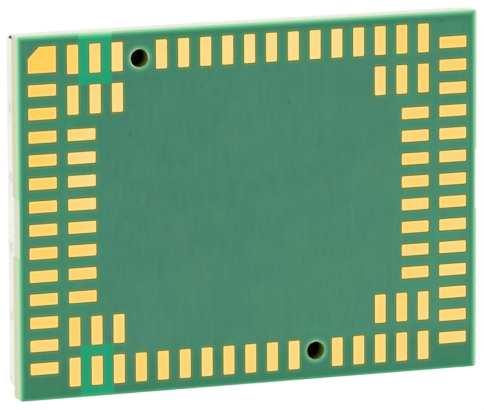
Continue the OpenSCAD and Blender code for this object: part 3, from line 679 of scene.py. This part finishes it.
def places(xs, ys):
    """Points from two lists of coordinates, of which one may be a single value."""
    return np.stack(np.broadcast_arrays(xs, ys), 1)


# The middles of each row of lands, and whether its lands lie along X.
LAND_ROWS = {
    "left_lands": (places(-OUTER_X, side_y[1:]), True),
    "right_lands": (places(OUTER_X, side_y), True),
    "top_lands": (places(np.delete(row_x, 3), OUTER_Y), False),
    "bottom_lands": (places(np.delete(row_x, 11), -OUTER_Y), False),
    "left_inner_lands": (places(-INNER_X, side_y[3:11]), True),
    "right_inner_lands": (places(INNER_X, side_y[3:11]), True),
    "top_corner_lands": (places(corner_x, INNER_Y), False),
    "bottom_corner_lands": (places(corner_x, -INNER_Y), False),
}


def land_path(lies_wide, grow, steps, spacing):
    """A land's outline about its own middle, moved out by grow."""
    size = np.array([LAND_L, LAND_W] if lies_wide else [LAND_W, LAND_L]) + 2 * grow
    return rounded_path(box_corners(0, 0, *size), LAND_CORNER + grow, steps, spacing)


def first_corners(grow):
    """The first terminal's outline: a block with its outer corner cut off, counter-clockwise."""
    left, right = -OUTER_X - LAND_L / 2 - grow, -OUTER_X + LAND_L / 2 + grow
    low, high = side_y[0] - LAND_W / 2 - grow, OUTER_Y + LAND_L / 2 + grow
    cut = FIRST_CHAMFER + grow * (1 - np.tan(np.pi / 8))
    return np.array([[left, low], [right, low], [right, high], [left + cut, high],
                     [left, high - cut]])


def film_height(flat):
    """The film's thickness over a place: less by the step inside the two windows."""
    flank = 2 * WINDOW_FLANK
    inside = np.clip((WINDOW_HALF - np.abs(flat[..., 0] - WINDOW_X)) / flank + 0.5, 0, 1) \
        * np.clip((np.abs(flat[..., 1]) - WINDOW_LOW) / flank + 0.5, 0, 1)
    return MASK_T - WINDOW_STEP * inside


def film_wall(path, insets, shares):
    """A film edge carried along a path, each row at a share of the film's thickness there."""
    rows = swept(path, insets, np.asarray(shares, float))
    rows[..., 2] = BOARD_HIGH + rows[..., 2] * film_height(rows[..., :2])
    return rows


film_edge = rounded_path(outline(MASK_PULLBACK), OUTLINE_RADII, steps=7, spacing=0.4)
openings = [rounded_path(first_corners(LAND_GROW), FIRST_OPENING_CORNER, steps=5, spacing=0.35)]
for middles, lies_wide in LAND_ROWS.values():
    opening = land_path(lies_wide, LAND_GROW, steps=6, spacing=0.35)
    openings += [opening + middle for middle in middles]
edge_wall = film_wall(film_edge, *EDGE_FILM)
opening_walls = [film_wall(path[::-1], *OPENING_FILM) for path in openings]
ring_walls = [film_wall(circle_path(centre, HOLE_RADIUS + HOLE_RING, 64), *RING_FILM)
              for centre in HOLE_CENTRES]
film_rows = [edge_wall, *opening_walls, *ring_walls]

# Points along the two flanks of each window's step, and an open grid over the rest, give the film
# its own relief between the openings.
flank_y = np.arange(WINDOW_LOW + 0.1, BOARD_HALF_W - 0.7, 0.1)
flank_x = WINDOW_X + np.arange(-WINDOW_HALF - WINDOW_FLANK, WINDOW_HALF + 0.04, 0.1)
leans = -WINDOW_FLANK, WINDOW_FLANK
flanks = [places(WINDOW_X + side * (WINDOW_HALF + lean), sign * flank_y)
          for side in (-1, 1) for lean in leans for sign in (-1, 1)]
flanks += [places(flank_x, sign * (WINDOW_LOW + lean)) for lean in leans for sign in (-1, 1)]
grid = grid_points(np.arange(-20, 20.1, 0.8), np.arange(-14.8, 14.9, 0.8))
loose = np.concatenate([*flanks, grid])
land_reach = np.array([LAND_L, LAND_W]) / 2 + LAND_GROW + OPENING_CLEAR
taken = np.concatenate([*(middles for middles, _ in LAND_ROWS.values()),
                        HOLE_CENTRES, [FIRST_MIDDLE]])
reach = np.concatenate([*(np.tile(land_reach if lies_wide else land_reach[::-1], (len(middles), 1))
                          for middles, lies_wide in LAND_ROWS.values()),
                        np.full((2, 2), HOLE_RADIUS + HOLE_RING + RING_CLEAR), [FIRST_REACH]])
free = ~(np.abs(loose[:, None] - taken) < reach).all(2).any(1)
inside = (np.abs(loose) < np.subtract((BOARD_HALF_L, BOARD_HALF_W), EDGE_CLEAR)).all(1)
flat, top_triangles = filled([rows[-1, :, :2] for rows in film_rows], loose[free & inside])
film_top = np.column_stack([flat, BOARD_HIGH + film_height(flat)])
flat, foot_triangles = filled([rows[0, :, :2] for rows in film_rows])
film_foot = np.column_stack([flat, np.full(len(flat), BOARD_HIGH)])
brink = np.concatenate([
    np.zeros(edge_wall[..., 0].size),
    *(np.repeat(OPENING_BRINK, rows.shape[1]) for rows in opening_walls),
    np.zeros(sum(rows[..., 0].size for rows in ring_walls) + len(film_top) + len(film_foot))])
mask_film = make_piece("mask_film", ["land_side_mask"], "solder_mask",
                       [*map(walled, film_rows), (film_top, top_triangles),
                        (film_foot, foot_triangles[:, ::-1])], brink=brink)

green = Finish("green_mask", Roughness=0.42, Specular_IOR_Level=0.2)
x, y, _ = green.axes()
in_window = green.in_window()
streaks = green.place.stretched(1, 0.16, 1).noise(2.6, 2, 0.6)
specks = green.place.stretched(1, 0.6, 1).noise(2.6, 1).rise(0.68, 0.76)
mottle = green.place.noise(0.7, 3)
patches = green.place.noise(0.16, 2)
grain = green.place.noise(3.4, 2)
greyer = green.place.noise(0.3, 3).rise(0.45, 0.65)

# The field inside the lands is a little greyer than the ring between them.
# Both tones are painted lighter towards the lower right: a painted light gradient across the mask.
painted_light_slope = x * 0.012 - y * 0.016 + 0.5
ringed = abs(x).rise(12.6, 14.6).most(abs(y).rise(10.8, 13))
field_tone = painted_light_slope.mix(paint(62, 128, 103), paint(73, 139, 111))
ring_tone = painted_light_slope.mix(paint(54, 132, 99), paint(72, 144, 113))
ring_tone = y.rise(-11, -13.5).mix(ring_tone, paint(58, 129, 98))
ring_tone = abs(y).rise(14.6, 15).mix(ring_tone, paint(52, 130, 95))
resin_tone = ringed.mix(field_tone, ring_tone)
resin_tone = (greyer * 0.3).mix(resin_tone, paint(78, 131, 106))
resin_tone = resin_tone.scaled(
    streaks * 0.22 + mottle * 0.14 + patches * 0.16 + grain * 0.12 - specks * 0.14 + 0.69)

# It brightens in the windows and round the holes, it takes the pale band along the edge, partly
# bare laminate and partly a painted glow, and it lets the olive ground show at the brink of each
# land's opening.
resin_tone = in_window.mix(resin_tone, mottle.mix(paint(8, 154, 106), paint(26, 170, 121)))
from_edge, edge_glow_tone = green.edge_glow_band()
# Painted glow along the routed edge.
resin_tone = from_edge.rise(0.6, 0.38).mix(resin_tone, edge_glow_tone)
resin_tone = (green.from_holes().rise(1.3, 1.0) * 0.6).mix(resin_tone, paint(92, 172, 126))
thin = green.attribute("brink") * (0.8 - in_window * 0.4)
green.feed(Base_Color=thin.mix(resin_tone, paint(112, 142, 78)), Roughness=mottle * 0.14 + 0.36)
green.bump(streaks * 0.5 + green.place.noise(9, 2) * 0.5, 0.003)
green.cover(mask_film)

# The 88 lands are copper, plated with nickel and a thin layer of gold. Each lies in its opening of
# the mask with a narrow gap round it, and its top edge is rounded by the etching.
LAND_INSETS = np.array([0, 0, 0.01, 0.03, 0.09, 0.2, 0.32, 0.47])
LAND_HEIGHTS = BOARD_HIGH + MASK_T * np.array([0, 0.6, 0.88, 0.97, 1, 0.995, 0.985, 0.98])
LAND_SPINE = (LAND_L - LAND_W) / 2
FIRST_SPINE, FIRST_DEEP = 0.1, 1.2


def land_rows(path, spine_half, deep, middles):
    """Lands of one outline at many middles. Row i lies insets[i] / deep of the way from the path to
    the land's own middle line, the part of the long axis that the path's points drop onto."""
    spine_half = np.array(spine_half)
    spine = np.clip(path, -spine_half, spine_half)
    share = LAND_INSETS[:, None, None] / deep
    flat = path * (1 - share) + spine * share
    level = np.broadcast_to(LAND_HEIGHTS[:, None, None], flat.shape[:2] + (1,))
    one = np.concatenate([flat, level], 2)
    return one + np.column_stack([middles, np.zeros(len(middles))])[:, None, None]


def plated(node_name, lands):
    """Closed lands: walls and tops as rings, with a flat face that ends each of them."""
    rows, columns = lands.shape[1:3]
    last = np.arange((rows - 1) * columns, rows * columns)
    faces = [*ring_quads(rows, columns).tolist(), last.tolist(), np.arange(columns)[::-1].tolist()]
    # This weighs a painted highlight on each land's rounded top edge.
    rim = np.repeat(np.interp(LAND_INSETS, [0.03, 0.2], [1, 0]), columns)
    return make_piece("plated_" + node_name, [node_name], "gold_plating",
                      [(land, faces) for land in lands], crease=30, rim=np.tile(rim, len(lands)),
                      batch=np.repeat(chance.random(len(lands)), rows * columns))


plated_lands = []
for name, (middles, lies_wide) in LAND_ROWS.items():
    spine_half = [LAND_SPINE, 0] if lies_wide else [0, LAND_SPINE]
    path = land_path(lies_wide, 0, steps=5, spacing=0.3)
    plated_lands.append(plated(name, land_rows(path, spine_half, LAND_W / 2, middles)))
first_path = rounded_path(first_corners(0), FIRST_CORNER, steps=4, spacing=0.3) - FIRST_MIDDLE
plated_lands.append(plated("first_land", land_rows(
    first_path, [FIRST_SPINE, FIRST_SPINE], FIRST_DEEP, FIRST_MIDDLE[None])))

gold = Finish("gold_plating", Metallic=1.0)
x, y, _ = gold.axes()
# The gold is painted paler in a broad soft patch above the middle, a painted sheen, and paler
# towards the lower right, a painted light gradient; the batch and cloud terms are the plating's own
# uneven tone.
sheen_distance = gold.place.stretched(1, 0.9, 0).distance(-1.9, 5.5, 0)
batch, rim = gold.attribute("batch"), gold.attribute("rim")
cloud = gold.place.noise(0.6, 2)
plating_tone_and_sheen = sheen_distance.rise(18, 11.5) * 0.62 + x * 0.0075 - y * 0.0115
plating_tone_and_sheen = plating_tone_and_sheen + batch * 0.22 + cloud * 0.3 + 0.07
gold_tone = plating_tone_and_sheen.mix(paint(254, 207, 91), paint(253, 222, 146))
crystals = gold.place.noise(22, 3)
# The rounded top edge of each land is painted pale: a painted highlight.
gold.feed(Base_Color=(rim * 0.65).mix(gold_tone, paint(241, 240, 164)),
          Roughness=crystals * 0.12 + 0.28)
gold.bump(crystals, 0.0015)
gold.cover(*plated_lands)

# The stage: a plain pale floor under soft even light from a white studio, with one broad lamp on
# the camera's side. The floor shows as white paper and keeps a soft shadow. Sizes are metres here,
# and the floor lies a hair above the lid's face, so that the two don't coincide.
FLOOR_SIDE, FLOOR_AT = 6.0, 1e-5
WHITE, GREY = (1, 1, 1, 1), (0.35, 0.35, 0.35, 1)
LAMP_PLACE, LAMP_SIDE, LAMP_POWER = (-0.7, 0.35, 1.0), 0.9, 6.0
floor_mesh = bpy.data.meshes.new("floor")
floor_corners = box_corners(0, 0, FLOOR_SIDE, FLOOR_SIDE)
floor_mesh.from_pydata(np.column_stack([floor_corners, np.full(4, FLOOR_AT)]), [], [[0, 1, 2, 3]])
floor = bpy.data.objects.new("floor", floor_mesh)
bpy.context.scene.collection.objects.link(floor)
Finish("paper", Base_Color=GREY, Roughness=0.9, Specular_IOR_Level=0.0, Emission_Color=WHITE,
       Emission_Strength=0.75).cover(floor)

world = bpy.data.worlds.new("studio")
world.use_nodes = True
bpy.context.scene.world = world
studio = Tone(world.node_tree)
background = world.node_tree.nodes["Background"]
background.inputs["Color"].default_value = WHITE
direct, glossy, through = (studio.node("ShaderNodeLightPath", {}, {}, "Is " + kind + " Ray")
                           for kind in ("Camera", "Glossy", "Transmission"))
seen = direct.most(glossy).most(through)
world.node_tree.links.new((seen * 0.3 + 0.7).socket, background.inputs["Strength"])

lamp = bpy.data.lights.new("softbox", "AREA")
lamp.shape, lamp.size, lamp.energy = "SQUARE", LAMP_SIDE, LAMP_POWER
softbox = bpy.data.objects.new("softbox", lamp)
bpy.context.scene.collection.objects.link(softbox)
softbox.visible_glossy = False
softbox.location = LAMP_PLACE
softbox.rotation_euler = (-softbox.location).to_track_quat("-Z", "Y").to_euler()

# The camera looks down on the land side from the upper left, through a long lens.
CAMERA_PLACE = (-0.20060, 0.10269, 0.54052)
CAMERA_AXES = ((0.93691, -0.00377, 0.34957),
               (0.06519, 0.98429, -0.16409),
               (-0.34346, 0.17653, 0.92244))
SENSOR_W, PICTURE_W, FOCAL_W = 36.0, 484, 6786
lens = bpy.data.cameras.new("camera")
lens.sensor_width, lens.lens, lens.clip_end = SENSOR_W, FOCAL_W / PICTURE_W * SENSOR_W, 10
camera = bpy.data.objects.new("camera", lens)
bpy.context.scene.collection.objects.link(camera)
turn = Matrix(CAMERA_AXES).transposed().to_4x4()
camera.matrix_world = Matrix.Translation(CAMERA_PLACE) @ turn
bpy.context.scene.camera = camera
bpy.context.scene.view_settings.view_transform = "Standard"
